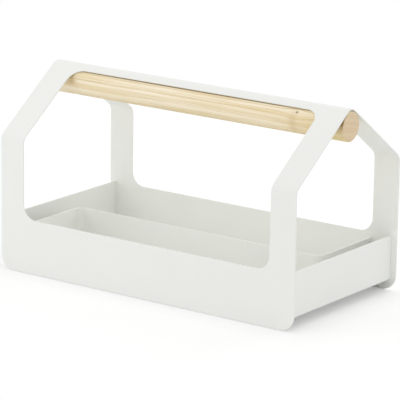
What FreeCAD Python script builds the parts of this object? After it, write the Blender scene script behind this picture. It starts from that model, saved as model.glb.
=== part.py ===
import FreeCAD, Part
import math
import os
import Sketcher

# Open carrying tote.  One folded sheet makes the low walls, the uprights and the roof-shaped ridge; a
# folded pan closes it below; a loose Z-shaped strip divides the pan; a round wooden bar hangs under the
# ridge as the handle.  Millimetres: X along the bar, -Y the front, +Z up, and the origin on the ground
# under the middle of the tote.

doc = FreeCAD.newDocument("tote")
Vector = FreeCAD.Vector

# ---------------------------------------------------------------- driving dimensions

DIMENSIONS = {
    # the folded frame
    "length": 360.0,              # along the ridge
    "depth": 182.0,               # over the outer faces of the front and rear panels
    "gauge": 1.5,                 # thickness of every folded sheet
    "shoulderHeight": 138.7,      # where a panel and its slope would meet without the bend
    "slope": 36.1,                # degrees, each slope from the horizontal
    "shoulderBend": 12.0,         # outside radius
    "ridgeBend": 12.0,            # outside radius
    "panelCorner": 16.0,          # bottom corners of the front and rear panels
    # the windows
    "upright": 29.2,              # width of the strip left at each end of a window
    "wallHeight": 56.2,           # from the ground to the lower edge of a window
    "ridgeStrip": 12.9,           # from the ridge down the slope to the upper edge of a window
    "windowCorner": 15.0,
    # the pan
    "panInset": 6.2,              # from the ends of the frame to the end walls
    "panLift": 10.6,              # from the ground to the underside of the pan
    "endWallHeight": 56.9,        # from the ground to the top of an end wall
    "panBend": 3.0,               # outside radius of its folds
    "flangeFoot": 2.0,            # from the ground to the lower edge of the side flanges
    "flangeStop": 12.0,           # from an end wall to the end of a side flange
    "flangeCorner": 3.0,          # lower corners of the side flanges
    "reliefWidth": 1.5,           # of the notch where a side flange stops
    "reliefPast": 0.5,            # from the start of the fold on to the end of the notch
    # the divider
    "dividerSpan": 300.0,         # over its two end flanges
    "dividerHeight": 38.3,
    "dividerBend": 9.0,           # outside radius
    "dividerShift": -0.5,         # where it stands along the tray, left of the middle
    "dividerPlay": 0.6,           # between a flange's edge and the panel
    "coat": 0.1,                  # layer of coating between pieces that rest on each other
    # the bar
    "barRadius": 15.0,
    "barChamfer": 1.2,
    # the fixings, the same at both ends of the bar
    "fixingReach": 150.0,         # from the middle of the bar
    "bossRadius": 5.0,
    "bossLength": 12.0,
    "bossRoom": 0.5,              # free space round and under a boss in the bar
    "tapRadius": 3.05,
    "tapDepth": 11.0,
    "screwRadius": 3.0,
    "screwLength": 25.0,
    "screwPoint": 0.6,            # chamfer at the tip
    "headRadius": 5.25,
    "headHeight": 3.3,
    "headFlat": 2.9,              # radius of the flat on the head
    "headDome": 6.5,              # radius of the curve from the flat to the rim
    "keyWidth": 4.0,              # across the flats of the hexagon socket
    "keyDepth": 2.1,
    "washerRadius": 6.0,
    "washerBore": 3.2,
    "washerThickness": 1.6,
    "screwRoom": 3.3,             # radius of the hole for the screw through the bar
    "sinkRadius": 6.8,            # counterbore for washer and head
    "sinkDepth": 6.4,
}

sizes = doc.addObject("Spreadsheet::Sheet", "Sizes")
for row, (alias, number) in enumerate(DIMENSIONS.items(), start=1):
    sizes.set("A%d" % row, alias)
    sizes.set("B%d" % row, str(number))
    sizes.setAlias("B%d" % row, alias)
doc.recompute()

# Heights that several pieces share, as expressions over the sheet and as numbers for first drafts of the
# sketches.
APEX = "(Sizes.shoulderHeight + Sizes.depth / 2 * tan(Sizes.slope))"
RIDGE_CENTRE = "(%s - Sizes.ridgeBend / cos(Sizes.slope))" % APEX
RIDGE_INSIDE = "(%s + Sizes.ridgeBend - Sizes.gauge)" % RIDGE_CENTRE
BAR_CENTRE = "(%s - (Sizes.gauge + Sizes.coat + Sizes.barRadius) / cos(Sizes.slope))" % APEX
SINK_TOP = "(%s - Sizes.barRadius + Sizes.sinkDepth)" % BAR_CENTRE
BOSS_FOOT = "(%s - Sizes.bossLength)" % RIDGE_INSIDE

halfLength = DIMENSIONS["length"] / 2
halfDepth = DIMENSIONS["depth"] / 2
gauge = DIMENSIONS["gauge"]
slope = math.radians(DIMENSIONS["slope"])
apex = DIMENSIONS["shoulderHeight"] + halfDepth * math.tan(slope)
barCentre = apex - (gauge + DIMENSIONS["coat"] + DIMENSIONS["barRadius"]) / math.cos(slope)


# ---------------------------------------------------------------- small helpers

def makeBody(label):
    body = doc.addObject("PartDesign::Body", label)
    body.Label = label
    return body


def originPlane(body, role):
    return next(item for item in body.Origin.OriginFeatures if item.Role == role)


def makeSketch(body, role, name):
    sketch = body.newObject("Sketcher::SketchObject", name)
    sketch.AttachmentSupport = [(originPlane(body, role), "")]
    sketch.MapMode = "FlatFace"
    return sketch


def drawLine(sketch, start, end):
    return sketch.addGeometry(Part.LineSegment(start, end))


def drawArc(sketch, centre, radius, first, last):
    """An arc anticlockwise from a first to a last heading, in degrees."""
    circle = Part.Circle(centre, Vector(0, 0, 1), radius)
    return sketch.addGeometry(Part.ArcOfCircle(circle, math.radians(first), math.radians(last)))


def drive(sketch, expression, kind, *places):
    """Adds a dimension, which starts at what the sketch measures, and binds it to an expression."""
    value = measure(sketch, kind, *places)
    index = sketch.addConstraint(Sketcher.Constraint(kind, *places, value))
    sketch.setExpression("Constraints[%d]" % index, expression)


def measure(sketch, kind, *places):
    if kind == "Radius":
        return sketch.Geometry[places[0]].Radius
    if kind == "Angle":
        first, second = (heading(sketch, line) for line in places)
        return first.getAngle(second)
    if kind == "Distance":
        return (spot(sketch, places[0], END) - spot(sketch, places[0], START)).Length
    step = spot(sketch, *places[2:]) - spot(sketch, *places[:2])
    return step.x if kind == "DistanceX" else step.y


def heading(sketch, line):
    if line == X_AXIS:
        return Vector(1, 0, 0)
    return spot(sketch, line, END) - spot(sketch, line, START)


def spot(sketch, item, which):
    """A point of a sketch: the origin, the end of a line, the centre of an arc or a point itself."""
    if item < 0:
        return Vector()
    geometry = sketch.Geometry[item]
    if geometry.TypeId == "Part::GeomPoint":
        return Vector(geometry.X, geometry.Y, 0)
    if which == CENTRE:
        return geometry.Center
    return geometry.StartPoint if which == START else geometry.EndPoint


def tie(sketch, *constraint):
    sketch.addConstraint(Sketcher.Constraint(*constraint))


START, END, CENTRE = 1, 2, 3
X_AXIS, Y_AXIS = -1, -2


def makePad(body, sketch, name, length, symmetric=False, reverse=False):
    pad = body.newObject("PartDesign::Pad", name)
    pad.Profile = sketch
    pad.SideType = "Symmetric" if symmetric else "One side"
    pad.Reversed = reverse
    pad.setExpression("Length", length)
    return pad


def makePocket(body, sketch, name, length=None, symmetric=False, reverse=False):
    """A pocket of the given length, or right through when no length is given."""
    pocket = body.newObject("PartDesign::Pocket", name)
    pocket.Profile = sketch
    pocket.SideType = "Symmetric" if symmetric else "One side"
    pocket.Reversed = reverse
    if length is None:
        pocket.Type = "ThroughAll"
    else:
        pocket.setExpression("Length", length)
    return pocket


def edgesWhere(shape, test):
    """Names of the edges whose middle point and direction pass a test."""
    names = []
    for number, edge in enumerate(shape.Edges, start=1):
        middle = edge.valueAt((edge.FirstParameter + edge.LastParameter) / 2)
        if test(middle, edge):
            names.append("Edge%d" % number)
    return names


def foldedSection(sketch, corners, radii, side):
    """Draws the section of a folded sheet along a run of corner points.

    The points lie on one face of the sheet; the other face is on the given side of the run, +1 for the
    left and -1 for the right.  The radii are those of the face that the points lie on.  Both faces are
    chained by tangents, their bends share centres, and the two cut ends are square, so the caller only
    has to place the run and give one radius to each bend.
    """
    count = len(corners) - 1
    along = [(corners[i + 1] - corners[i]).normalize() for i in range(count)]
    left = [Vector(-step.y, step.x, 0) for step in along]
    faces = []
    for offset in (0.0, gauge * side):
        points = [corners[0] + left[0] * offset]
        for i in range(1, count):
            half = along[i - 1].getAngle(along[i]) / 2
            points.append(corners[i] + (left[i - 1] + left[i]).normalize() * (offset / math.cos(half)))
        points.append(corners[count] + left[count - 1] * offset)
        faces.append(drawRun(sketch, points, along, left, radii, offset))
    (nearLines, nearArcs), (farLines, farArcs) = faces
    for near, far in zip(nearArcs, farArcs):
        tie(sketch, "Coincident", near, CENTRE, far, CENTRE)
    for near, far in zip(nearLines, farLines):
        tie(sketch, "Parallel", near, far)
    caps = []
    for near, far, end in ((nearLines[0], farLines[0], START), (nearLines[-1], farLines[-1], END)):
        cap = drawLine(sketch, spot(sketch, near, end), spot(sketch, far, end))
        tie(sketch, "Coincident", cap, START, near, end)
        tie(sketch, "Coincident", cap, END, far, end)
        tie(sketch, "Perpendicular", cap, near)
        caps.append(cap)
    drive(sketch, "Sizes.gauge", "Distance", caps[0])
    return nearLines, nearArcs, farArcs


def drawRun(sketch, points, along, left, radii, offset):
    """One face of a folded sheet: straight lines joined by tangent arcs at the inner points."""
    lines, arcs, joints = [], [], []
    start = points[0]
    for i in range(1, len(points) - 1):
        turn = 1 if along[i - 1].cross(along[i]).z > 0 else -1
        radius = radii[i - 1] - turn * offset
        half = along[i - 1].getAngle(along[i]) / 2
        reach = radius * math.tan(half)
        first = points[i] - along[i - 1] * reach
        last = points[i] + along[i] * reach
        centre = first + left[i - 1] * (turn * radius)
        lines.append(drawLine(sketch, start, first))
        ends = (first, last) if turn > 0 else (last, first)
        headings = [math.degrees(math.atan2(point.y - centre.y, point.x - centre.x)) for point in ends]
        arcs.append(drawArc(sketch, centre, radius, *headings))
        joints.append((START, END) if turn > 0 else (END, START))
        start = last
    lines.append(drawLine(sketch, start, points[-1]))
    for i, arc in enumerate(arcs):
        tie(sketch, "Tangent", lines[i], END, arc, joints[i][0])
        tie(sketch, "Tangent", arc, joints[i][1], lines[i + 1], START)
    return lines, arcs


def windowOutline(sketch, halfWidth, farEdge, nearEdge, radius):
    """A closed outline, even about the upright axis, with round corners at its far edge only."""
    way = 1 if farEdge > nearEdge else -1
    shoulder = farEdge - way * radius
    inner = halfWidth - radius
    leftSide = drawLine(sketch, Vector(-halfWidth, nearEdge), Vector(-halfWidth, shoulder))
    far = drawLine(sketch, Vector(-inner, farEdge), Vector(inner, farEdge))
    rightSide = drawLine(sketch, Vector(halfWidth, shoulder), Vector(halfWidth, nearEdge))
    near = drawLine(sketch, Vector(halfWidth, nearEdge), Vector(-halfWidth, nearEdge))
    if way > 0:
        leftArc = drawArc(sketch, Vector(-inner, shoulder), radius, 90, 180)
        rightArc = drawArc(sketch, Vector(inner, shoulder), radius, 0, 90)
        order = (END, START, END, START)
    else:
        leftArc = drawArc(sketch, Vector(-inner, shoulder), radius, 180, 270)
        rightArc = drawArc(sketch, Vector(inner, shoulder), radius, 270, 360)
        order = (START, END, START, END)
    tie(sketch, "Tangent", leftSide, END, leftArc, order[0])
    tie(sketch, "Tangent", leftArc, order[1], far, START)
    tie(sketch, "Tangent", far, END, rightArc, order[2])
    tie(sketch, "Tangent", rightArc, order[3], rightSide, START)
    tie(sketch, "Coincident", rightSide, END, near, START)
    tie(sketch, "Coincident", near, END, leftSide, START)
    tie(sketch, "Vertical", leftSide)
    tie(sketch, "Vertical", rightSide)
    tie(sketch, "Horizontal", far)
    tie(sketch, "Equal", leftArc, rightArc)
    tie(sketch, "Symmetric", near, START, near, END, Y_AXIS)
    drive(sketch, "Sizes.windowCorner", "Radius", leftArc)
    drive(sketch, "Sizes.length - 2 * Sizes.upright", "Distance", near)
    return far, near


# ---------------------------------------------------------------- the folded frame

def makeFrameShell():
    body = makeBody("frame_shell")
    section = makeSketch(body, "YZ_Plane", "frame_section")
    shoulder = DIMENSIONS["shoulderHeight"]
    corners = [Vector(-halfDepth, 0), Vector(-halfDepth, shoulder), Vector(0, apex),
               Vector(halfDepth, shoulder), Vector(halfDepth, 0)]
    bends = [DIMENSIONS["shoulderBend"], DIMENSIONS["ridgeBend"], DIMENSIONS["shoulderBend"]]
    lines, arcs, _ = foldedSection(section, corners, bends, side=-1)
    front, frontSlope, rearSlope, rear = lines
    tie(section, "Vertical", front)
    tie(section, "Vertical", rear)
    tie(section, "PointOnObject", front, START, X_AXIS)
    tie(section, "PointOnObject", rear, END, X_AXIS)
    tie(section, "PointOnObject", arcs[1], CENTRE, Y_AXIS)
    drive(section, "Sizes.depth / 2", "DistanceX", front, START, -1, START)
    drive(section, "Sizes.depth / 2", "DistanceX", -1, START, rear, END)
    drive(section, "Sizes.slope", "Angle", X_AXIS, frontSlope)
    drive(section, "Sizes.slope", "Angle", rearSlope, X_AXIS)
    meeting = section.addGeometry(Part.Point(Vector(-halfDepth, shoulder)), True)
    tie(section, "PointOnObject", meeting, START, front)
    tie(section, "PointOnObject", meeting, START, frontSlope)
    drive(section, "Sizes.shoulderHeight", "DistanceY", -1, START, meeting, START)
    for arc, alias in zip(arcs, ("shoulderBend", "ridgeBend", "shoulderBend")):
        drive(section, "Sizes.%s" % alias, "Radius", arc)
    makePad(body, section, "folded_sheet", "Sizes.length", symmetric=True)

    # Each window is cut through the panel and on through the slope above it.
    halfWindow = halfLength - DIMENSIONS["upright"]
    radius = DIMENSIONS["windowCorner"]
    wall = makeSketch(body, "XZ_Plane", "panel_window")
    low, high = windowOutline(wall, halfWindow, DIMENSIONS["wallHeight"], shoulder, radius)
    drive(wall, "Sizes.wallHeight", "DistanceY", -1, START, low, START)
    drive(wall, "Sizes.shoulderHeight", "DistanceY", -1, START, high, START)
    makePocket(body, wall, "panel_windows", symmetric=True)

    roof = makeSketch(body, "XY_Plane", "slope_window")
    roof.setExpression("AttachmentOffset.Base.z", APEX)
    roof.AttachmentOffset = FreeCAD.Placement(Vector(0, 0, apex), FreeCAD.Rotation(Vector(1, 0, 0), 1))
    roof.setExpression("AttachmentOffset.Rotation.Angle", "Sizes.slope")
    reach = halfDepth / math.cos(slope) + DIMENSIONS["gauge"]
    top, foot = windowOutline(roof, halfWindow, -DIMENSIONS["ridgeStrip"], -reach, radius)
    drive(roof, "Sizes.ridgeStrip", "DistanceY", top, START, -1, START)
    drive(roof, "Sizes.depth / 2 / cos(Sizes.slope) + Sizes.gauge", "DistanceY", foot, START, -1, START)
    cut = makePocket(body, roof, "front_slope_window", "Sizes.shoulderBend", symmetric=True)
    mirrored = body.newObject("PartDesign::Mirrored", "rear_slope_window")
    mirrored.Originals = [cut]
    mirrored.MirrorPlane = (originPlane(body, "XZ_Plane"), [""])
    body.Tip = mirrored
    doc.recompute()

    rounded = body.newObject("PartDesign::Fillet", "panel_corners")
    corner = edgesWhere(mirrored.Shape, lambda middle, edge: middle.z < 0.01 and edge.Length < 2 * gauge
                        and abs(middle.x) > halfLength - 0.01)
    rounded.Base = (mirrored, corner)
    rounded.setExpression("Radius", "Sizes.panelCorner")
    return body


# ---------------------------------------------------------------- the folded pan

def makeTrayPan():
    body = makeBody("tray_pan")
    halfWidth = halfDepth - gauge
    floor = DIMENSIONS["panLift"] + gauge
    foot = DIMENSIONS["flangeFoot"]
    bend = DIMENSIONS["panBend"]

    section = makeSketch(body, "YZ_Plane", "floor_section")
    corners = [Vector(-halfWidth, foot), Vector(-halfWidth, floor), Vector(halfWidth, floor),
               Vector(halfWidth, foot)]
    lines, arcs, _ = foldedSection(section, corners, [bend, bend], side=-1)
    tie(section, "Vertical", lines[0])
    tie(section, "Horizontal", lines[1])
    tie(section, "Vertical", lines[2])
    tie(section, "Symmetric", lines[0], START, lines[2], END, Y_AXIS)
    drive(section, "Sizes.depth - 2 * Sizes.gauge", "DistanceX", lines[0], START, lines[2], END)
    drive(section, "Sizes.flangeFoot", "DistanceY", -1, START, lines[0], START)
    drive(section, "Sizes.panLift + Sizes.gauge", "DistanceY", -1, START, lines[1], START)
    for arc in arcs:
        drive(section, "Sizes.panBend", "Radius", arc)
    makePad(body, section, "floor_and_side_flanges",
            "Sizes.length - 2 * (Sizes.panInset + Sizes.flangeStop)", symmetric=True)

    # Beyond the side flanges the floor runs on to the fold of the end wall.
    outside = halfLength - DIMENSIONS["panInset"]
    inside = outside - DIMENSIONS["flangeStop"]
    end = makeSketch(body, "XZ_Plane", "end_section")
    corners = [Vector(inside, floor - gauge), Vector(outside, floor - gauge),
               Vector(outside, DIMENSIONS["endWallHeight"])]
    lines, arcs, _ = foldedSection(end, corners, [bend], side=1)
    tie(end, "Horizontal", lines[0])
    tie(end, "Vertical", lines[1])
    drive(end, "Sizes.panLift", "DistanceY", -1, START, lines[0], START)
    drive(end, "Sizes.length / 2 - Sizes.panInset - Sizes.flangeStop", "DistanceX",
          -1, START, lines[0], START)
    drive(end, "Sizes.length / 2 - Sizes.panInset", "DistanceX", -1, START, lines[1], END)
    drive(end, "Sizes.endWallHeight", "DistanceY", -1, START, lines[1], END)
    drive(end, "Sizes.panBend", "Radius", arcs[0])
    wall = makePad(body, end, "right_end_wall", "Sizes.depth - 2 * Sizes.gauge", symmetric=True)
    mirrored = body.newObject("PartDesign::Mirrored", "left_end_wall")
    mirrored.Originals = [wall]
    mirrored.MirrorPlane = (originPlane(body, "YZ_Plane"), [""])
    body.Tip = mirrored
    doc.recompute()

    # Where a side flange stops, a notch lets it fold without tearing the floor beside it.
    notch = makeSketch(body, "XY_Plane", "relief_plan")
    drawNotch(notch, inside, halfWidth)
    relief = makePocket(body, notch, "relief", symmetric=True)
    copies = body.newObject("PartDesign::MultiTransform", "reliefs")
    copies.Originals = [relief]
    sides = []
    for name, plane in (("other_end", "YZ_Plane"), ("other_side", "XZ_Plane")):
        side = body.newObject("PartDesign::Mirrored", name)
        side.MirrorPlane = (originPlane(body, plane), [""])
        sides.append(side)
    copies.Transformations = sides
    body.Tip = copies
    doc.recompute()

    rounded = body.newObject("PartDesign::Fillet", "flange_corners")
    corner = edgesWhere(copies.Shape, lambda middle, edge: abs(middle.z - foot) < 0.01
                        and abs(abs(middle.x) - inside) < 0.01)
    rounded.Base = (copies, corner)
    rounded.setExpression("Radius", "Sizes.flangeCorner")
    return body


def drawNotch(sketch, start, edge):
    """A notch with a round end, from past the edge of the floor inwards to just past the fold."""
    width = DIMENSIONS["reliefWidth"]
    depth = DIMENSIONS["panBend"] + DIMENSIONS["reliefPast"]
    mouth = edge + width
    base = edge - depth + width / 2
    centre = Vector(start + width / 2, base)
    left = drawLine(sketch, Vector(start, mouth), Vector(start, base))
    arc = drawArc(sketch, centre, width / 2, 180, 360)
    right = drawLine(sketch, Vector(start + width, base), Vector(start + width, mouth))
    top = drawLine(sketch, Vector(start + width, mouth), Vector(start, mouth))
    tie(sketch, "Tangent", left, END, arc, START)
    tie(sketch, "Tangent", arc, END, right, START)
    tie(sketch, "Coincident", right, END, top, START)
    tie(sketch, "Coincident", top, END, left, START)
    tie(sketch, "Vertical", left)
    tie(sketch, "Horizontal", top)
    drive(sketch, "Sizes.reliefWidth / 2", "Radius", arc)
    drive(sketch, "Sizes.length / 2 - Sizes.panInset - Sizes.flangeStop", "DistanceX",
          -1, START, left, START)
    drive(sketch, "Sizes.depth / 2 - Sizes.gauge + Sizes.reliefWidth", "DistanceY",
          -1, START, left, START)
    drive(sketch, "Sizes.panBend + Sizes.reliefPast + Sizes.reliefWidth / 2", "DistanceY",
          left, END, left, START)


# ---------------------------------------------------------------- the loose divider

def makeDivider():
    body = makeBody("divider")
    plan = makeSketch(body, "XY_Plane", "divider_plan")
    reach = DIMENSIONS["dividerSpan"] / 2
    side = halfDepth - gauge - DIMENSIONS["dividerPlay"]
    bend = DIMENSIONS["dividerBend"]
    corners = [Vector(-reach, -side), Vector(-reach, gauge / 2), Vector(reach - gauge, gauge / 2),
               Vector(reach - gauge, side)]
    lines, arcs, others = foldedSection(plan, corners, [bend, bend - gauge], side=-1)
    tie(plan, "Vertical", lines[0])
    tie(plan, "Horizontal", lines[1])
    tie(plan, "Vertical", lines[2])
    drive(plan, "Sizes.dividerSpan / 2", "DistanceX", lines[0], START, -1, START)
    drive(plan, "Sizes.dividerSpan / 2 - Sizes.gauge", "DistanceX", -1, START, lines[2], END)
    drive(plan, "Sizes.gauge / 2", "DistanceY", -1, START, lines[1], START)
    flangeEdge = "Sizes.depth / 2 - Sizes.gauge - Sizes.dividerPlay"
    drive(plan, flangeEdge, "DistanceY", lines[0], START, -1, START)
    drive(plan, flangeEdge, "DistanceY", -1, START, lines[2], END)
    drive(plan, "Sizes.dividerBend", "Radius", arcs[0])
    drive(plan, "Sizes.dividerBend", "Radius", others[1])
    makePad(body, plan, "divider_strip", "Sizes.dividerHeight")
    body.setExpression("Placement.Base.x", "Sizes.dividerShift")
    body.setExpression("Placement.Base.z", "Sizes.panLift + Sizes.gauge + Sizes.coat")
    return body


# ---------------------------------------------------------------- the handle bar

def makeHandleBar():
    body = makeBody("handle_bar")
    section = makeSketch(body, "YZ_Plane", "bar_section")
    drawCircle(section, Vector(0, barCentre), "Sizes.barRadius", height=BAR_CENTRE)
    pad = makePad(body, section, "round_bar", "Sizes.length", symmetric=True)
    doc.recompute()
    rims = edgesWhere(pad.Shape, lambda middle, edge: abs(abs(middle.x) - halfLength) < 0.01)
    chamfer = body.newObject("PartDesign::Chamfer", "bar_ends")
    chamfer.Base = (pad, rims)
    chamfer.setExpression("Size", "Sizes.barChamfer")

    # Bored from above for the bosses, right through for the screws and from below for their heads.
    drillBoth(body, "boss_holes", "Sizes.bossRadius + Sizes.bossRoom",
              "%s - Sizes.bossRoom" % BOSS_FOOT, upwards=True)
    drillBoth(body, "screw_holes", "Sizes.screwRoom", SINK_TOP, upwards=True)
    drillBoth(body, "head_holes", "Sizes.sinkRadius", SINK_TOP, upwards=False)
    return body


def drawCircle(sketch, centre, radius, across=None, height=None):
    """A circle whose centre is on the axes, or off them by the given expressions."""
    draft = float(sizes.evalExpression(radius))
    circle = sketch.addGeometry(Part.Circle(centre, Vector(0, 0, 1), draft))
    if across is None:
        tie(sketch, "PointOnObject", circle, CENTRE, Y_AXIS)
    elif centre.x > 0:
        drive(sketch, across, "DistanceX", -1, START, circle, CENTRE)
    else:
        drive(sketch, across, "DistanceX", circle, CENTRE, -1, START)
    if height is None:
        tie(sketch, "PointOnObject", circle, CENTRE, X_AXIS)
    else:
        drive(sketch, height, "DistanceY", -1, START, circle, CENTRE)
    drive(sketch, radius, "Radius", circle)


def drillBoth(body, name, radius, level, upwards):
    """Two upright holes, one at each fixing, cut from a level upwards or downwards."""
    sketch = makeSketch(body, "XY_Plane", name + "_plan")
    sketch.setExpression("AttachmentOffset.Base.z", level)
    for direction in (-1, 1):
        centre = Vector(direction * DIMENSIONS["fixingReach"], 0)
        drawCircle(sketch, centre, radius, across="Sizes.fixingReach")
    makePocket(body, sketch, name, reverse=upwards)


# ---------------------------------------------------------------- the fixings

def makeBoss(label, direction):
    """Tapped boss whose top is dressed to the inside of the ridge bend, where it is welded."""
    blank = doc.addObject("Part::Cylinder", label + "_blank")
    blank.setExpression("Radius", "Sizes.bossRadius")
    blank.setExpression("Height", "Sizes.bossLength")
    blank.setExpression("Placement.Base.z", BOSS_FOOT)
    ridge = doc.addObject("Part::Cylinder", label + "_ridge")
    ridge.Placement = FreeCAD.Placement(Vector(), FreeCAD.Rotation(Vector(0, 1, 0), 90))
    ridge.setExpression("Radius", "Sizes.ridgeBend - Sizes.gauge")
    ridge.setExpression("Height", "4 * Sizes.bossRadius")
    ridge.setExpression("Placement.Base.x", "%d * Sizes.fixingReach - 2 * Sizes.bossRadius" % direction)
    ridge.setExpression("Placement.Base.z", RIDGE_CENTRE)
    tap = doc.addObject("Part::Cylinder", label + "_tap")
    tap.setExpression("Radius", "Sizes.tapRadius")
    tap.setExpression("Height", "Sizes.tapDepth")
    tap.setExpression("Placement.Base.z", BOSS_FOOT)
    for item in (blank, tap):
        item.setExpression("Placement.Base.x", "%d * Sizes.fixingReach" % direction)
    dressed = doc.addObject("Part::Common", label + "_dressed")
    dressed.Base = blank
    dressed.Tool = ridge
    boss = doc.addObject("Part::Cut", label)
    boss.Base = dressed
    boss.Tool = tap
    boss.Label = label
    return boss


def seatFixing(body, direction, level):
    body.setExpression("Placement.Base.x", "%d * Sizes.fixingReach" % direction)
    body.setExpression("Placement.Base.z", level)
    return body


def makeWasher(label, direction):
    body = makeBody(label)
    ring = makeSketch(body, "XY_Plane", label + "_ring")
    drawCircle(ring, Vector(), "Sizes.washerRadius")
    drawCircle(ring, Vector(), "Sizes.washerBore")
    makePad(body, ring, label + "_disc", "Sizes.washerThickness")
    return seatFixing(body, direction, "%s - Sizes.washerThickness" % SINK_TOP)


def makeScrew(label, direction):
    """Button-head screw, point up, turned about its own axis with the seat of its head at zero."""
    body = makeBody(label)
    half = makeSketch(body, "XZ_Plane", label + "_half")
    length, shank, point = (DIMENSIONS[name] for name in ("screwLength", "screwRadius", "screwPoint"))
    head, rise, flat = (DIMENSIONS[name] for name in ("headRadius", "headHeight", "headFlat"))
    domeRadius = DIMENSIONS["headDome"]
    outline = [Vector(0, length), Vector(shank - point, length), Vector(shank, length - point),
               Vector(shank, 0), Vector(head, 0)]
    lines = [drawLine(half, a, b) for a, b in zip(outline, outline[1:])]
    inner, rim = Vector(flat, -rise), Vector(head, 0)
    chord = rim - inner
    sagitta = domeRadius - math.sqrt(domeRadius ** 2 - chord.Length ** 2 / 4)
    crown = (inner + rim) / 2 + Vector(chord.y, -chord.x).normalize() * sagitta
    dome = half.addGeometry(Part.Arc(inner, crown, rim))
    face = drawLine(half, inner, Vector(0, -rise))
    axis = drawLine(half, Vector(0, -rise), Vector(0, length))
    for before, after in zip(lines, lines[1:]):
        tie(half, "Coincident", before, END, after, START)
    tip, bevel, side, seat = lines
    arc = half.Geometry[dome]
    domeOuter, domeInner = (END, START) if arc.EndPoint.x > arc.StartPoint.x else (START, END)
    tie(half, "Coincident", seat, END, dome, domeOuter)
    tie(half, "Coincident", dome, domeInner, face, START)
    tie(half, "Coincident", face, END, axis, START)
    tie(half, "Coincident", axis, END, tip, START)
    tie(half, "PointOnObject", axis, START, Y_AXIS)
    tie(half, "PointOnObject", axis, END, Y_AXIS)
    tie(half, "Horizontal", tip)
    tie(half, "Vertical", side)
    tie(half, "PointOnObject", seat, START, X_AXIS)
    tie(half, "PointOnObject", seat, END, X_AXIS)
    tie(half, "Horizontal", face)
    drive(half, "Sizes.screwLength", "DistanceY", -1, START, tip, START)
    drive(half, "Sizes.screwRadius", "DistanceX", -1, START, side, START)
    drive(half, "Sizes.screwRadius - Sizes.screwPoint", "DistanceX", -1, START, tip, END)
    drive(half, "Sizes.screwPoint", "DistanceY", side, START, tip, END)
    drive(half, "Sizes.headRadius", "DistanceX", -1, START, seat, END)
    drive(half, "Sizes.headHeight", "DistanceY", face, START, -1, START)
    drive(half, "Sizes.headFlat", "DistanceX", -1, START, face, START)
    drive(half, "Sizes.headDome", "Radius", dome)
    turned = body.newObject("PartDesign::Revolution", label + "_turned")
    turned.Profile = half
    turned.ReferenceAxis = (half, ["V_Axis"])
    turned.Angle = 360

    key = makeSketch(body, "XY_Plane", label + "_key")
    key.setExpression("AttachmentOffset.Base.z", "-Sizes.headHeight")
    corner = DIMENSIONS["keyWidth"] / math.sqrt(3)
    turns = [i * math.pi / 3 for i in range(6)]
    spots = [Vector(corner * math.cos(turn), corner * math.sin(turn)) for turn in turns]
    around = key.addGeometry(Part.Circle(Vector(), Vector(0, 0, 1), corner), True)
    flats = [drawLine(key, spots[i - 1], spots[i]) for i in range(6)]
    tie(key, "Coincident", around, CENTRE, -1, START)
    for i in range(6):
        tie(key, "Coincident", flats[i - 1], END, flats[i], START)
        tie(key, "PointOnObject", flats[i], START, around)
    for i in range(1, 6):
        tie(key, "Equal", flats[0], flats[i])
    tie(key, "PointOnObject", flats[1], START, X_AXIS)
    drive(key, "Sizes.keyWidth / sqrt(3)", "Radius", around)
    makePocket(body, key, label + "_socket", "Sizes.keyDepth", reverse=True)
    return seatFixing(body, direction, "%s - Sizes.washerThickness" % SINK_TOP)


# ---------------------------------------------------------------- the tote

subParts = [makeFrameShell(), makeTrayPan(), makeDivider(), makeHandleBar()]
for suffix, direction in (("left", -1), ("right", 1)):
    subParts.append(makeBoss("handle_boss_" + suffix, direction))
    subParts.append(makeWasher("handle_washer_" + suffix, direction))
    subParts.append(makeScrew("handle_screw_" + suffix, direction))
doc.recompute()

for item in doc.Objects:
    if "Invalid" in item.State or "Error" in item.State:
        raise RuntimeError("%s failed: %s" % (item.Name, item.State))
    if item.TypeId == "Sketcher::SketchObject" and item.solve() != 0:
        raise RuntimeError("%s has no solution" % item.Name)
    if item.TypeId == "PartDesign::Pocket" and item.Shape.Volume >= item.BaseFeature.Shape.Volume:
        raise RuntimeError("%s cuts nothing" % item.Name)
for part in subParts:
    if part.Shape.isNull() or not part.Shape.isValid() or len(part.Shape.Solids) != 1:
        raise RuntimeError("%s is not one sound solid" % part.Label)

os.makedirs("parts", exist_ok=True)
for part in subParts:
    part.Shape.exportStep("parts/%s.step" % part.Label)
    box = part.Shape.BoundBox
    print("%-22s %9.1f mm3  x %7.2f %7.2f  y %7.2f %7.2f  z %7.2f %7.2f" % (
        part.Label, part.Shape.Volume, box.XMin, box.XMax, box.YMin, box.YMax, box.ZMin, box.ZMax))
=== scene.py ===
import math

import bmesh
import bpy
from mathutils import Matrix, Vector


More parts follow.
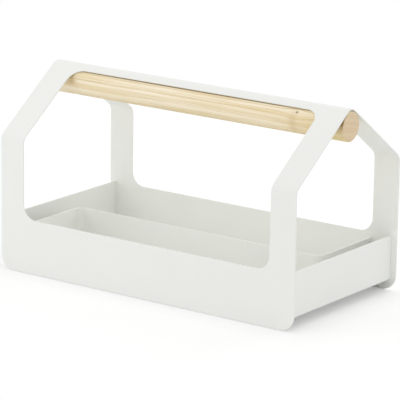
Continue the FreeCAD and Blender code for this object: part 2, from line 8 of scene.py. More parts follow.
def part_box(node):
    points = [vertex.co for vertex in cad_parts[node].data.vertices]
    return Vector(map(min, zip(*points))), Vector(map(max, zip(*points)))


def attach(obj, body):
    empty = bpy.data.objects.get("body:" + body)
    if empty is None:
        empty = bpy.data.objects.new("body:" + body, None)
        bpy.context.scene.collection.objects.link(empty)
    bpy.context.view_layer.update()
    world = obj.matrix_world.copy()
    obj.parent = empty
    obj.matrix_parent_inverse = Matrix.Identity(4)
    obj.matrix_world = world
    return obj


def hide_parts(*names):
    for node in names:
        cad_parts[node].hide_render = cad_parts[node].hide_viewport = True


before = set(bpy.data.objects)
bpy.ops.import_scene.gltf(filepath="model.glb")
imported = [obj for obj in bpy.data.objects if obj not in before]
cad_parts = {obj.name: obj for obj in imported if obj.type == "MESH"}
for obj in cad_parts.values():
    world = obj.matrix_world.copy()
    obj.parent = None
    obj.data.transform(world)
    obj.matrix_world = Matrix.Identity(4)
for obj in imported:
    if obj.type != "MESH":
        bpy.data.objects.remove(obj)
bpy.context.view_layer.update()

# Open carrying tote: a folded steel frame and pan, a loose divider and an ash bar.  The dictionaries give
# millimetres and degrees unless a note says otherwise; the scene itself is in metres, X along the bar.
mm = 0.001
print("frame loaded:", ", ".join(sorted(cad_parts)))

cameraView = {
    "azimuth": 35.89,            # to the right of the front
    "elevation": 14.64,
    "roll": 0.85,
    "lens": 253.3,
    "sensor": 36,
    # in metres
    "distance": 2.8167,
    "lookAt": (0.0029, 0.0, 0.0830),
    "clipEnd": 50,
}


def addCamera(view):
    azimuth, elevation, roll = (math.radians(view[name]) for name in ("azimuth", "elevation", "roll"))
    back = Vector((math.sin(azimuth) * math.cos(elevation),
                   -math.cos(azimuth) * math.cos(elevation),
                   math.sin(elevation)))
    right = Vector((math.cos(azimuth), math.sin(azimuth), 0))
    up = back.cross(right)
    tiltedRight = right * math.cos(roll) + up * math.sin(roll)
    tiltedUp = up * math.cos(roll) - right * math.sin(roll)
    turn = Matrix((tiltedRight, tiltedUp, back)).transposed().to_4x4()
    data = bpy.data.cameras.new("camera")
    data.lens = view["lens"]
    data.sensor_width = view["sensor"]
    data.clip_end = view["clipEnd"]
    camera = bpy.data.objects.new("camera", data)
    bpy.context.scene.collection.objects.link(camera)
    camera.matrix_world = Matrix.Translation(Vector(view["lookAt"]) + back * view["distance"]) @ turn
    bpy.context.scene.camera = camera


addCamera(cameraView)
print("camera set")


def linear(hexColour):
    # sRGB hex to the linear colour of a socket
    channels = [int(hexColour[i:i + 2], 16) / 255 for i in (1, 3, 5)]
    return [c / 12.92 if c <= 0.04045 else ((c + 0.055) / 1.055) ** 2.4 for c in channels] + [1.0]


def feed(tree, node, inputs):
    # an input is a value, a socket, or a node that stands for its first output in use
    for name, value in inputs.items():
        socket = node.inputs[name] if isinstance(name, int) else next(
            one for one in node.inputs if one.name == name and one.enabled)
        if isinstance(value, bpy.types.Node):
            value = next(one for one in value.outputs if one.enabled)
        if isinstance(value, bpy.types.NodeSocket):
            tree.links.new(value, socket)
        else:
            socket.default_value = value


def addNode(tree, kind, inputs=None, **settings):
    node = tree.nodes.new(kind)
    for name, value in settings.items():
        setattr(node, name, value)
    feed(tree, node, inputs or {})
    return node


def startMaterial(name):
    material = bpy.data.materials.new(name)
    material.use_nodes = True
    tree = material.node_tree
    tree.nodes.clear()
    shader = addNode(tree, "ShaderNodeBsdfPrincipled")
    addNode(tree, "ShaderNodeOutputMaterial", {"Surface": shader})
    place = addNode(tree, "ShaderNodeTexCoord").outputs["Object"]
    return material, tree, shader, place


powderCoatLook = {
    "colour": "#f4f5f1",
    "colourThin": "#f1f2ee",
    "cloudSize": 45,             # one cloud of the slow drift between the two
    "peelSize": 1.3,             # one swell of the orange peel
    "peelDepth": 0.006,
    "grainSize": 0.35,           # one grain of the powder, on the swells
    "grainShare": 0.3,           # its height beside that of a swell
    "roughness": (0.55, 0.64),
    "specular": 0.35,
}


def makePowderCoat(look):
    # polyester powder coat on mild steel, sprayed and baked: matt, faintly dimpled, almost even in tint
    material, tree, shader, place = startMaterial("powderCoatedSteel")
    cloud = addNode(tree, "ShaderNodeTexNoise",
                    {"Vector": place, "Scale": 1 / (look["cloudSize"] * mm), "Detail": 2.0})
    tint = addNode(tree, "ShaderNodeMix",
                   {"Factor": cloud, "A": linear(look["colour"]), "B": linear(look["colourThin"])},
                   data_type="RGBA")
    peel = addNode(tree, "ShaderNodeTexNoise",
                   {"Vector": place, "Scale": 1 / (look["peelSize"] * mm), "Detail": 1.0})
    grain = addNode(tree, "ShaderNodeTexNoise",
                    {"Vector": place, "Scale": 1 / (look["grainSize"] * mm), "Detail": 2.0})
    height = addNode(tree, "ShaderNodeMath", {0: grain, 1: look["grainShare"], 2: peel},
                     operation="MULTIPLY_ADD")
    bump = addNode(tree, "ShaderNodeBump",
                   {"Height": height, "Distance": look["peelDepth"] * mm, "Strength": 1.0})
    smooth, rough = look["roughness"]
    sheen = addNode(tree, "ShaderNodeMapRange", {"Value": grain, "To Min": smooth, "To Max": rough})
    feed(tree, shader, {"Base Color": tint, "Normal": bump, "Roughness": sheen,
                        "Specular IOR Level": look["specular"]})
    return material


# Places on the bar are X, Y and Z from its middle, and a reach is along the same three.  A pattern's size
# is its length along the bar and its breadth across it.  Entries with From and To set a Map Range node.
ashLook = {
    "cream": "#fff3db",          # smooth latewood
    "tan": "#ebd8b0",            # open earlywood
    "honey": "#e9d29c",          # where the slow drift of the tint is strongest
    "pore": "#d6c298",
    "streak": "#c9ad7c",         # thin mineral streaks
    "endLate": "#e4cfae",        # the cut end takes more of the lacquer
    "endEarly": "#dcc39e",
    "pith": (0, -14, -64),       # middle of the tree
    "ringWidth": 2.9,
    "ringUneven": (0.7, 1.6),    # how fast the width changes from ring to ring, and how much
    # paleness at each share of a ring's width
    "ringTone": ((0.0, 0.0), (0.25, 0.15), (0.6, 0.9), (0.88, 1.0), (0.97, 0.35)),
    "wave": (150, 14),           # of the grain's slow swaying
    "waveHeight": 1.5,
    "fibre": (45, 0.8),          # of a bundle of fibres, drawn coarse enough to show
    "fibreTone": {"From Min": 0.25, "From Max": 0.75, "To Min": -0.5, "To Max": 0.5},
    "fibreRelief": 0.25,         # height of the fibres beside the depth of the pores
    "poreSize": (5, 0.5),        # drawn coarse enough to show
    "poreHollow": {"From Min": 0.30, "From Max": 0.18},
    "poreSeason": {"From Min": 0.5, "From Max": 0.1},
    "poreDepth": 0.03,
    "drift": (110, 7),           # of the tint
    "driftTone": {"From Min": 0.45, "From Max": 0.75, "To Max": 0.6},
    "streakSize": (70, 1.3),
    "streakTone": {"From Min": 0.62, "From Max": 0.78, "To Max": 0.35},
    "endFacing": {"From Min": 0.75, "From Max": 0.98},
    "roughness": (0.42, 0.55),
    "specular": 0.3,
    # marks of this length of wood, and painted shade on it: colour, place, reach and strength
    "marksAndShade": {
        "belly": ("#dbc28c", (0, -7, -13), (1000, 8, 7), 0.35),             # the side that hangs lowest
        "golden": ("#e2c988", (172, -4, -8), (48, 60, 30), 0.55),           # yellower wood to the right
        "amber": ("#c39c55", (-150, -14.8, 1.8), (6, 4, 3.4), 0.6),         # a yellower patch to the left under the window's corner: partly darker wood, partly painted shade
        "figure": ("#cdaf78", (122, -14, -3), (4.5, 12, 12), 0.35),         # a short cross band by the knot
        "knot": ("#92743f", (125.6, -12.3, 8.6), (1.3, 1.1, 1.1), 1.0),
        "endShade": ("#8f7040", (180, -12.5, 5.5), (14, 5, 7.5), 1.0),       # painted shade at the end, on the side that the slope overhangs
        "rimShade": ("#8f7040", (180, -9.9, 11.9), (4, 2.8, 2.8), 1.0),      # and painted shade on the rim above it
        "stripShade": ("#84683a", (-10, -8.9, 11.4), (220, 0.75, 0.75), 0.8),     # painted shade: the dark gap under the ridge strip's edge, laid on the wood
        "corner": ("#84683a", (-150.2, -12.4, 8.3), (1.3, 3.0, 3.4), 0.6),  # and painted shade in the corner of a window, where the sheet stands off the bar
    },
    "knotFlow": (15, 7, 7),      # reach of the bend that the knot gives the grain
    "knotPush": 0.8,             # and its strength, under 1
}


def nearTo(tree, here, place, reach):
    # 1 at the place, fading out over its reach
    away = addNode(tree, "ShaderNodeVectorMath", {0: here, 1: place}, operation="SUBTRACT")
    away = addNode(tree, "ShaderNodeVectorMath", {0: away, 1: reach}, operation="DIVIDE")
    square = addNode(tree, "ShaderNodeVectorMath", {0: away, 1: away}, operation="DOT_PRODUCT")
    square = addNode(tree, "ShaderNodeMath", {0: square, 1: -1.0}, operation="MULTIPLY")
    return addNode(tree, "ShaderNodeMath", {0: square}, operation="EXPONENT")


def alongGrain(tree, kind, here, size, **inputs):
    # a pattern whose cells are stretched along the bar
    length, breadth = size
    cells = addNode(tree, "ShaderNodeVectorMath",
                    {0: here, 1: (length, breadth, breadth)}, operation="DIVIDE")
    return addNode(tree, kind, {"Vector": cells, "Scale": 1.0, **inputs})


def bendGrain(tree, look, here):
    # where in straight wood each place is read from: pushed aside by the knot, and swaying
    knotPlace = look["marksAndShade"]["knot"][1]
    push = addNode(tree, "ShaderNodeMath",
                   {0: nearTo(tree, here, knotPlace, look["knotFlow"]), 1: -look["knotPush"]},
                   operation="MULTIPLY")
    fromKnot = addNode(tree, "ShaderNodeVectorMath", {0: here, 1: knotPlace}, operation="SUBTRACT")
    pushed = addNode(tree, "ShaderNodeVectorMath", {0: fromKnot, "Scale": push}, operation="SCALE")
    flow = addNode(tree, "ShaderNodeVectorMath", {0: pushed, 1: here}, operation="ADD")
    wave = alongGrain(tree, "ShaderNodeTexNoise", flow, look["wave"], Detail=2.0)
    sway = addNode(tree, "ShaderNodeVectorMath",
                   {0: wave.outputs["Color"], 1: (0.5, 0.5, 0.5)}, operation="SUBTRACT")
    return addNode(tree, "ShaderNodeVectorMath",
                   {0: sway, 1: (0, 2 * look["waveHeight"], 2 * look["waveHeight"]), 2: flow},
                   operation="MULTIPLY_ADD")


def growthRings(tree, look, grain):
    # rings of uneven width round the pith, from 0 in open earlywood to 1 in latewood
    fromPith = addNode(tree, "ShaderNodeVectorMath", {0: grain, 1: look["pith"]}, operation="SUBTRACT")
    across = addNode(tree, "ShaderNodeVectorMath", {0: fromPith, 1: (0, 1, 1)}, operation="MULTIPLY")
    depth = addNode(tree, "ShaderNodeVectorMath", {0: across}, operation="LENGTH")
    years = addNode(tree, "ShaderNodeMath", {0: depth, 1: look["ringWidth"]}, operation="DIVIDE")
    pace, spread = look["ringUneven"]
    seasons = addNode(tree, "ShaderNodeTexNoise", {"W": years, "Scale": pace, "Detail": 1.0},
                      noise_dimensions="1D")
    uneven = addNode(tree, "ShaderNodeMath", {0: seasons, 1: spread, 2: years}, operation="MULTIPLY_ADD")
    ring = addNode(tree, "ShaderNodeMath", {0: uneven}, operation="FRACT")
    late = addNode(tree, "ShaderNodeValToRGB", {"Fac": ring})
    for position, level in look["ringTone"]:
        stop = late.color_ramp.elements.new(position)
        stop.color = (level, level, level, 1)
    for stale in (late.color_ramp.elements[-1], late.color_ramp.elements[0]):
        late.color_ramp.elements.remove(stale)
    return late


def makeAshWood(look):
    # ash, turned from one length and given a clear matt lacquer: pale cream and tan rings as fine lines
    # along the bar, dashes of open pores in the tan ones, one pin knot, darker end grain
    low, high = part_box("handle_bar")
    material, tree, shader, place = startMaterial("lacqueredAsh")
    # millimetres from the middle of the bar
    here = addNode(tree, "ShaderNodeMapping", {
        "Vector": place, "Scale": [1 / mm] * 3, "Location": (0, 0, -(low.z + high.z) / 2 / mm)})
    grain = bendGrain(tree, look, here)
    late = growthRings(tree, look, grain)
    fibre = alongGrain(tree, "ShaderNodeTexNoise", grain, look["fibre"], Detail=3.0)
    fibreTone = addNode(tree, "ShaderNodeMapRange", {"Value": fibre, **look["fibreTone"]})
    tone = addNode(tree, "ShaderNodeMath", {0: late, 1: fibreTone}, operation="ADD", use_clamp=True)
    colour = addNode(tree, "ShaderNodeMix",
                     {"Factor": tone, "A": linear(look["tan"]), "B": linear(look["cream"])},
                     data_type="RGBA")

    # pores only where the wood is early, then drift, streaks, marks and painted shade laid over the rings
    # one by one
    cells = alongGrain(tree, "ShaderNodeTexVoronoi", grain, look["poreSize"])
    hollow = addNode(tree, "ShaderNodeMapRange", {"Value": cells, **look["poreHollow"]})
    early = addNode(tree, "ShaderNodeMapRange", {"Value": late, **look["poreSeason"]})
    pore = addNode(tree, "ShaderNodeMath", {0: hollow, 1: early}, operation="MULTIPLY")
    drift = alongGrain(tree, "ShaderNodeTexNoise", here, look["drift"], Detail=1.0)
    honey = addNode(tree, "ShaderNodeMapRange", {"Value": drift, **look["driftTone"]})
    lines = alongGrain(tree, "ShaderNodeTexNoise", grain, look["streakSize"], Detail=1.0)
    streak = addNode(tree, "ShaderNodeMapRange", {"Value": lines, **look["streakTone"]})
    layers = [(look["honey"], honey), (look["pore"], pore), (look["streak"], streak)]
    for hexColour, patchPlace, reach, strength in look["marksAndShade"].values():
        patchMask = nearTo(tree, here, patchPlace, reach)
        share = addNode(tree, "ShaderNodeMath", {0: patchMask, 1: strength}, operation="MULTIPLY")
        layers.append((hexColour, share))
    for hexColour, share in layers:
        colour = addNode(tree, "ShaderNodeMix", {"Factor": share, "A": colour, "B": linear(hexColour)},
                         data_type="RGBA")

    facing = addNode(tree, "ShaderNodeSeparateXYZ",
                     {0: addNode(tree, "ShaderNodeTexCoord").outputs["Normal"]})
    cutEnd = addNode(tree, "ShaderNodeMath", {0: facing}, operation="ABSOLUTE")
    cutEnd = addNode(tree, "ShaderNodeMapRange", {"Value": cutEnd, **look["endFacing"]})
    endTone = addNode(tree, "ShaderNodeMix",
                      {"Factor": tone, "A": linear(look["endEarly"]), "B": linear(look["endLate"])},
                      data_type="RGBA")
    colour = addNode(tree, "ShaderNodeMix", {"Factor": cutEnd, "A": colour, "B": endTone},
                     data_type="RGBA")
    relief = addNode(tree, "ShaderNodeMath", {0: fibre, 1: look["fibreRelief"]}, operation="MULTIPLY")
    relief = addNode(tree, "ShaderNodeMath", {0: relief, 1: pore}, operation="SUBTRACT")
    bump = addNode(tree, "ShaderNodeBump",
                   {"Height": relief, "Distance": look["poreDepth"] * mm, "Strength": 1.0})
    smooth, rough = look["roughness"]
    sheen = addNode(tree, "ShaderNodeMapRange", {"Value": late, "To Min": rough, "To Max": smooth})
    feed(tree, shader, {"Base Color": colour, "Normal": bump, "Roughness": sheen,
                        "Specular IOR Level": look["specular"]})
    return material


zincLook = {
    "colour": "#c6c9cb",
    "colourWarm": "#cfcabd",
    "cloudSize": 3,              # one cloud of the warm bloom
    "brightSize": 0.4,           # one patch of brighter or duller plating
    "roughness": (0.26, 0.38),
}


def makeZincPlate(look):
    # zinc-plated steel, electroplated and passivated: bright grey metal with a faint warm bloom
    material, tree, shader, place = startMaterial("zincPlatedSteel")
    bloom = addNode(tree, "ShaderNodeTexNoise",
                    {"Vector": place, "Scale": 1 / (look["cloudSize"] * mm), "Detail": 2.0})
    tint = addNode(tree, "ShaderNodeMix",
                   {"Factor": bloom, "A": linear(look["colour"]), "B": linear(look["colourWarm"])},
                   data_type="RGBA")
    fine = addNode(tree, "ShaderNodeTexNoise",
                   {"Vector": place, "Scale": 1 / (look["brightSize"] * mm), "Detail": 2.0})
    smooth, rough = look["roughness"]
    sheen = addNode(tree, "ShaderNodeMapRange", {"Value": fine, "To Min": smooth, "To Max": rough})
    feed(tree, shader, {"Base Color": tint, "Roughness": sheen, "Metallic": 1.0})
    return material


powderCoat = makePowderCoat(powderCoatLook)
ashWood = makeAshWood(ashLook)
zincPlate = makeZincPlate(zincLook)
for name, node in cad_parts.items():
    node.material_slots[0].material = zincPlate if "screw" in name or "washer" in name else powderCoat
print("materials made")


def addPiece(name, bm, material):
    mesh = bpy.data.meshes.new(name)
    bm.to_mesh(mesh)
    bm.free()
    mesh.materials.append(material)
    mesh.shade_smooth()
    piece = bpy.data.objects.new(name, mesh)
    bpy.context.scene.collection.objects.link(piece)
    return piece


def seatPiece(piece, body, node):
    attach(piece, body)
    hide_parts(node)


def cutAcross(bm, place, normal, **more):
    return bmesh.ops.bisect_plane(bm, geom=bm.verts[:] + bm.edges[:] + bm.faces[:], dist=1e-7,
                                  plane_co=place, plane_no=normal, **more)


# The folded sheets start flat, as the face that the bends are measured on, and are folded one line at a
# time.  Thickness and the softened cut edges come from modifiers.
sheetMake = {
    "gauge": 1.5,
    "edgeSoftness": 0.35,        # radius that the coat leaves on a cut edge
    "edgeSteps": 3,
    "edgeFrom": 50,              # a sharper turn than this is a cut edge and not part of a fold
    "cornerSteps": 12,           # facets in a round corner of the blank
    "foldStep": 6,               # degrees in one facet of a fold
    "flatWithin": 1,             # faces that turn less than this become one
    "flatWeight": 80,            # lead of the large faces in the shading, 50 being none
}
sameSpot = 1e-6                  # metres
toFront, toRear = Vector((0, -1, 0)), Vector((0, 1, 0))
toLeft, toRight = Vector((-1, 0, 0)), Vector((1, 0, 0))
upwards, downwards = Vector((0, 0, 1)), Vector((0, 0, -1))


def quarterBlank(outline, height, outside):
    # a quarter of the blank, mirrored in X and Y; each entry is x, y and the radius of its round corner
    bm = bmesh.new()
    bm.faces.new([bm.verts.new(Vector((x, y, height)) * mm) for x, y, radius in outline])
    for x, y, radius in outline:
        corner = min(bm.verts, key=lambda vert: (vert.co - Vector((x, y, height)) * mm).length)
        if radius:
            bmesh.ops.bevel(bm, geom=[corner], offset=radius * mm, segments=sheetMake["cornerSteps"],
                            profile=0.5, affect="VERTICES", material=-1)
    for axis in "XY":
        bmesh.ops.mirror(bm, geom=bm.verts[:] + bm.edges[:] + bm.faces[:], matrix=Matrix.Identity(4),
                         merge_dist=sameSpot, axis=axis)
    bmesh.ops.recalc_face_normals(bm, faces=bm.faces)
    if bm.faces[:][0].normal.dot(outside) < 0:
        bmesh.ops.reverse_faces(bm, faces=bm.faces)
    return bm


def fold(bm, line, past, towards, radius, degrees, limit=None):
    # what lies past the line rolls round a cylinder of that radius, on the side it is folded towards;
    # a limit leaves alone what is farther than that from the middle
    angle = math.radians(degrees)
    arc = radius * mm * angle
    start = Vector(line) * mm
    centre = start + towards * radius * mm
    steps = math.ceil(degrees / sheetMake["foldStep"])
    for i in range(steps + 1):
        cutAcross(bm, start + past * (arc * i / steps), past)
    for vert in bm.verts:
        reach = (vert.co - start).dot(past)
        if reach > 0 and (limit is None or abs(vert.co.x) < limit * mm):
            taken = min(reach, arc)
            turn = Matrix.Rotation(taken / (radius * mm), 3, past.cross(towards))
            vert.co = centre + turn @ (vert.co - past * taken - centre)


def addSheet(name, bm, body, node):
    bmesh.ops.dissolve_limit(bm, angle_limit=math.radians(sheetMake["flatWithin"]), verts=bm.verts,
                             edges=bm.edges)
    sheet = addPiece(name, bm, powderCoat)
    wall = sheet.modifiers.new("gauge", "SOLIDIFY")
    wall.thickness = sheetMake["gauge"] * mm
    wall.offset = -1
    wall.use_even_offset = True
    soft = sheet.modifiers.new("cutEdges", "BEVEL")
    soft.width = sheetMake["edgeSoftness"] * mm
    soft.segments = sheetMake["edgeSteps"]
    soft.limit_method = "ANGLE"
    soft.angle_limit = math.radians(sheetMake["edgeFrom"])
    soft.use_clamp_overlap = False
    even = sheet.modifiers.new("evenShade", "WEIGHTED_NORMAL")
    even.weight = sheetMake["flatWeight"]
    seatPiece(sheet, body, node)


frameShape = {
    "slope": 36.1,
    "ridgeBend": 12,
    "shoulderBend": 12,
    "panelCorner": 16,
    "windowReach": 150.8,        # half its width
    "windowCorner": 15,
    "ridgeStrip": 12.4,          # from the ridge, were it sharp, down the slope to the window
    "wallHeight": 56.2,          # from the ground to the window
}


def makeFrameShell(shape):
    length, depth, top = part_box("frame_shell")[1] / mm   # half of both, and the height
    slope = math.radians(shape["slope"])
    ridge, bend = shape["ridgeBend"], shape["shoulderBend"]
    shoulderTurn = 90 - shape["slope"]
    ridgeSkip = ridge * math.tan(slope)
    slopeFlat = depth / math.cos(slope) - ridgeSkip - bend * math.tan(math.radians(shoulderTurn) / 2)
    panelFlat = top - ridge * (1 - math.cos(slope)) - slopeFlat * math.sin(slope) - bend * math.cos(slope)
    # distances over the flat sheet, from the middle of the ridge
    shoulder = ridge * slope + slopeFlat
    edge = shoulder + bend * math.radians(shoulderTurn) + panelFlat
    start = ridge * slope + shape["ridgeStrip"] - ridgeSkip
    foot = edge - shape["wallHeight"]
    reach, bow = shape["windowReach"], shape["windowCorner"]
    bm = quarterBlank([(0, 0, 0), (length, 0, 0), (length, edge, shape["panelCorner"]), (0, edge, 0),
                       (0, foot, 0), (reach, foot, bow), (reach, start, bow), (0, start, 0)],
                      top, upwards)
    for side in (toFront, toRear):
        fold(bm, side * shoulder + upwards * top, side, downwards, bend, shoulderTurn)
    for side in (toFront, toRear):
        fold(bm, upwards * top, side, downwards, ridge, shape["slope"])
    addSheet("frameShell", bm, "tote", "frame_shell")


panShape = {
    "underside": 10.6,           # above the ground
    "endFold": 170.8,            # where the floor starts to turn up into an end wall
    "endBend": 3,
    "endFlat": 43.3,             # the end wall above its bend
    "halfDepth": 89.5,
    "sideFold": 86.5,            # where the floor starts to turn down into a side flange
    "sideBend": 1.5,             # on the underside, which is inside this bend
    "sideFlat": 7.1,
    "flangeReach": 161.8,        # half the length of a side flange
    "flangeCorner": 3,
    "relief": 1.5,               # width of the notch at each end of a flange
    "reliefBase": 86.0,
    "reliefLand": 0.1,           # straight stretch between the notch's two round corners
}


def makeTrayPan(shape):
    quarter = math.pi / 2
    end = shape["endFold"] + shape["endBend"] * quarter + shape["endFlat"]
    side = shape["sideFold"] + shape["sideBend"] * quarter + shape["sideFlat"]
    reach, past = shape["flangeReach"], shape["flangeReach"] + shape["relief"]
    small = (shape["relief"] - shape["reliefLand"]) / 2
    bm = quarterBlank([(0, 0, 0), (end, 0, 0), (end, shape["halfDepth"], 0), (past, shape["halfDepth"], 0),
                       (past, shape["reliefBase"], small), (reach, shape["reliefBase"], small),
                       (reach, side, shape["flangeCorner"]), (0, side, 0)], shape["underside"], downwards)
    flangeOnly = reach + shape["relief"] / 2
    for way in (toFront, toRear):
        fold(bm, way * shape["sideFold"] + upwards * shape["underside"], way, downwards,
             shape["sideBend"], 90, limit=flangeOnly)
    for way in (toLeft, toRight):
        fold(bm, way * shape["endFold"] + upwards * shape["underside"], way, upwards, shape["endBend"], 90)
    addSheet("trayPan", bm, "tote", "tray_pan")


dividerShape = {
    "outerBend": 9,
    "rearFace": 0.75,            # the face of the middle web towards the rear
}


def makeDivider(shape):
    low, high = (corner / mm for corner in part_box("divider"))
    bend, rear = shape["outerBend"], shape["rearFace"]
    inner = bend - sheetMake["gauge"]
    left, right = low.x + bend, high.x - bend
    leftEnd = left - bend * math.pi / 2 - (rear - bend - low.y)
    rightEnd = right + inner * math.pi / 2 + (high.y - rear - inner)
    bm = bmesh.new()
    bm.faces.new([bm.verts.new(Vector(corner) * mm) for corner in (
        (leftEnd, rear, low.z), (leftEnd, rear, high.z), (rightEnd, rear, high.z), (rightEnd, rear, low.z))])
    fold(bm, (left, rear, 0), toLeft, toFront, bend, 90)
    fold(bm, (right, rear, 0), toRight, toRear, inner, 90)
    addSheet("dividerStrip", bm, "divider", "divider")


makeFrameShell(frameShape)
makeTrayPan(panShape)
makeDivider(dividerShape)
print("folded sheets made")


barShape = {
    "radius": 15,
    "facets": 96,
    "endRound": 1.4,
    "endSteps": 5,
    "easing": 0.5,               # planed off beside each slope of the ridge, to hang clear of it
    "fixingReach": 150,
    "headHole": 6.8,             # radii of the stepped hole, from below
    "screwHole": 3.3,
    "bossHole": 5.5,
    "headLevel": 175.91,         # heights of its two steps
    "bossLevel": 188.21,
    "holeFacets": 48,
    "holeMargin": 12,            # the long faces are parted this far to each side of a hole
    "overrun": 5,                # of the drill past the bar
    "sharpFrom": 35,             # a sharper turn than this is shaded as an edge
}


def makeDrill(shape, bottom, top):
    # the stepped cutter of both holes: room for the head, for the shank and for the boss
    bm = bmesh.new()
    steps = [(shape["headHole"], bottom / mm), (shape["headHole"], shape["headLevel"]),
             (shape["screwHole"], shape["headLevel"]), (shape["screwHole"], shape["bossLevel"]),
             (shape["bossHole"], shape["bossLevel"]), (shape["bossHole"], top / mm)]
    for side in (-1, 1):
        middle = side * shape["fixingReach"]
        verts = [bm.verts.new(Vector((middle + radius, 0, level)) * mm) for radius, level in steps]
        edges = [bm.edges.new(pair) for pair in zip(verts, verts[1:])]
        bmesh.ops.spin(bm, geom=verts + edges, cent=(middle * mm, 0, 0), axis=(0, 0, 1),
                       angle=2 * math.pi, steps=shape["holeFacets"], use_merge=True)
    bmesh.ops.holes_fill(bm, edges=bm.edges[:], sides=0)
    bmesh.ops.recalc_face_normals(bm, faces=bm.faces)
    return addPiece("drill", bm, ashWood)


def makeHandleBar(shape):
    low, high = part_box("handle_bar")
    centre = Vector((0, 0, (low.z + high.z) / 2))
    bm = bmesh.new()
    ends = [bm.verts.new((x, 0, centre.z + shape["radius"] * mm)) for x in (low.x, high.x)]
    line = bm.edges.new(ends)
    bmesh.ops.spin(bm, geom=[*ends, line], cent=centre, axis=(1, 0, 0), angle=2 * math.pi,
                   steps=shape["facets"], use_merge=True)
    bmesh.ops.holes_fill(bm, edges=bm.edges[:], sides=0)
    bmesh.ops.recalc_face_normals(bm, faces=bm.faces)
    rims = [edge for edge in bm.edges if abs(edge.verts[0].co.x - edge.verts[1].co.x) < sameSpot]
    bmesh.ops.bevel(bm, geom=rims, offset=shape["endRound"] * mm, segments=shape["endSteps"], profile=0.5,
                    affect="EDGES", material=-1)
    slope = math.radians(frameShape["slope"])
    for side in (-1, 1):
        outwards = Vector((0, side * math.sin(slope), math.cos(slope)))
        planed = cutAcross(bm, centre + outwards * (shape["radius"] - shape["easing"]) * mm, outwards,
                           clear_outer=True)
        openEdges = [one for one in planed["geom_cut"] if isinstance(one, bmesh.types.BMEdge)]
        bmesh.ops.edgeloop_fill(bm, edges=openEdges)
    bmesh.ops.recalc_face_normals(bm, faces=bm.faces)
    for side in (-1, 1):
        for margin in (-shape["holeMargin"], shape["holeMargin"]):
            cutAcross(bm, ((side * shape["fixingReach"] + margin) * mm, 0, 0), toRight)
    bar = addPiece("handleBar", bm, ashWood)
    overrun = shape["overrun"] * mm
    drill = makeDrill(shape, low.z - overrun, high.z + overrun)
    holes = bar.modifiers.new("holes", "BOOLEAN")
    holes.object = drill
    holes.solver = "EXACT"
    depsgraph = bpy.context.evaluated_depsgraph_get()
    drilled = bpy.data.meshes.new_from_object(bar.evaluated_get(depsgraph))
    bar.modifiers.clear()
    bar.data = drilled
    bpy.data.objects.remove(drill)
    drilled.set_sharp_from_angle(angle=math.radians(shape["sharpFrom"]))
    seatPiece(bar, "tote", "handle_bar")


makeHandleBar(barShape)
print("handle bar made")


plainWhite = 1.0                 # a strength that the camera sees as white

floorLook = {
    "reach": 6,                  # metres from the middle to each side
    "drop": 0.2,                 # the tote stands this far above it, so that no faces meet
    "colour": "#fafafa",         # as the tote and the lamps see it
    "roughness": 0.9,
    "seenGain": 0.83,            # as the camera sees it: share of the lamps' light that it gives back,
    "seenGlow": 0.22,            # and light of its own
    "whiteFrom": (0.9, 1.5),     # metres from the tote, over which what the camera sees turns plain white
}


def seenByCamera(tree):
    # 1 to the camera, in metal and through glass too, and 0 to the light that falls on the tote
    paths = addNode(tree, "ShaderNodeLightPath").outputs
    seen = addNode(tree, "ShaderNodeMath", {0: paths["Is Camera Ray"], 1: paths["Is Glossy Ray"]},
                   operation="MAXIMUM")
    return addNode(tree, "ShaderNodeMath", {0: seen, 1: paths["Is Transmission Ray"]},
                   operation="MAXIMUM")


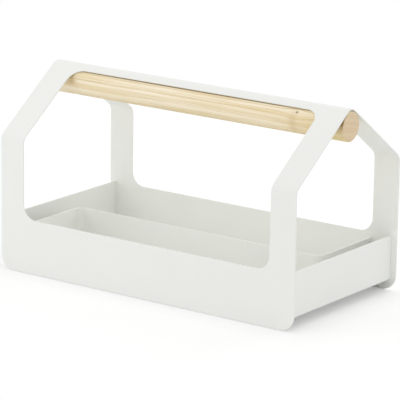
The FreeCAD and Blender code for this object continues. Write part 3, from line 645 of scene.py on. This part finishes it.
def addFloor(look):
    bm = bmesh.new()
    bmesh.ops.create_grid(bm, x_segments=1, y_segments=1, size=look["reach"])
    bmesh.ops.translate(bm, verts=bm.verts, vec=downwards * look["drop"] * mm)
    # matt paper sweep: plain to the tote, a little lighter to the camera so that it ends in white
    material, tree, shader, place = startMaterial("floorPaper")
    feed(tree, shader, {"Base Color": linear(look["colour"]), "Roughness": look["roughness"]})
    paper = addNode(tree, "ShaderNodeBsdfDiffuse", {"Color": [look["seenGain"]] * 3 + [1]})
    glow = addNode(tree, "ShaderNodeEmission", {"Strength": look["seenGlow"]})
    lit = addNode(tree, "ShaderNodeAddShader", {0: paper, 1: glow})
    near, far = look["whiteFrom"]
    away = addNode(tree, "ShaderNodeVectorMath", {0: place}, operation="LENGTH")
    share = addNode(tree, "ShaderNodeMapRange", {"Value": away, "From Min": near, "From Max": far})
    white = addNode(tree, "ShaderNodeEmission", {"Strength": plainWhite})
    lit = addNode(tree, "ShaderNodeMixShader", {0: share, 1: lit, 2: white})
    either = addNode(tree, "ShaderNodeMixShader", {0: seenByCamera(tree), 1: shader, 2: lit})
    feed(tree, tree.nodes["Material Output"], {"Surface": either})
    floor = addPiece("floor", bm, material)


addFloor(floorLook)

studioLight = {
    "world": 0.815,
    # each softbox: where it stands, what it faces and its two sides, all in metres, and its watts
    "softboxes": {
        "top": ((0.0, 0.30, 1.60), (0.0, 0.0, 0.1), (1.6, 1.0), 3.1),
        "front": ((-0.85, -1.05, 0.55), (-0.05, 0.0, 0.1), (0.8, 0.8), 1.75),
        "back": ((0.30, 1.90, 0.80), (0.0, 0.0, 0.1), (1.2, 1.2), 5.2),
    },
}


def addWorld(strength):
    world = bpy.data.worlds.new("studio")
    bpy.context.scene.world = world
    world.use_nodes = True
    tree = world.node_tree
    level = addNode(tree, "ShaderNodeMix", {"Factor": seenByCamera(tree), "A": strength, "B": plainWhite})
    feed(tree, tree.nodes["Background"], {"Color": (1, 1, 1, 1), "Strength": level})


def addSoftbox(name, place, target, sides, watts):
    data = bpy.data.lights.new(name, "AREA")
    data.shape = "RECTANGLE"
    data.size, data.size_y = sides
    data.energy = watts
    lamp = bpy.data.objects.new(name, data)
    bpy.context.scene.collection.objects.link(lamp)
    away = Vector(place) - Vector(target)
    lamp.matrix_world = Matrix.Translation(place) @ away.to_track_quat("Z", "Y").to_matrix().to_4x4()


addWorld(studioLight["world"])
for name, softbox in studioLight["softboxes"].items():
    addSoftbox(name, *softbox)
bpy.context.scene.view_settings.view_transform = "Standard"
print("stage and lamps set")
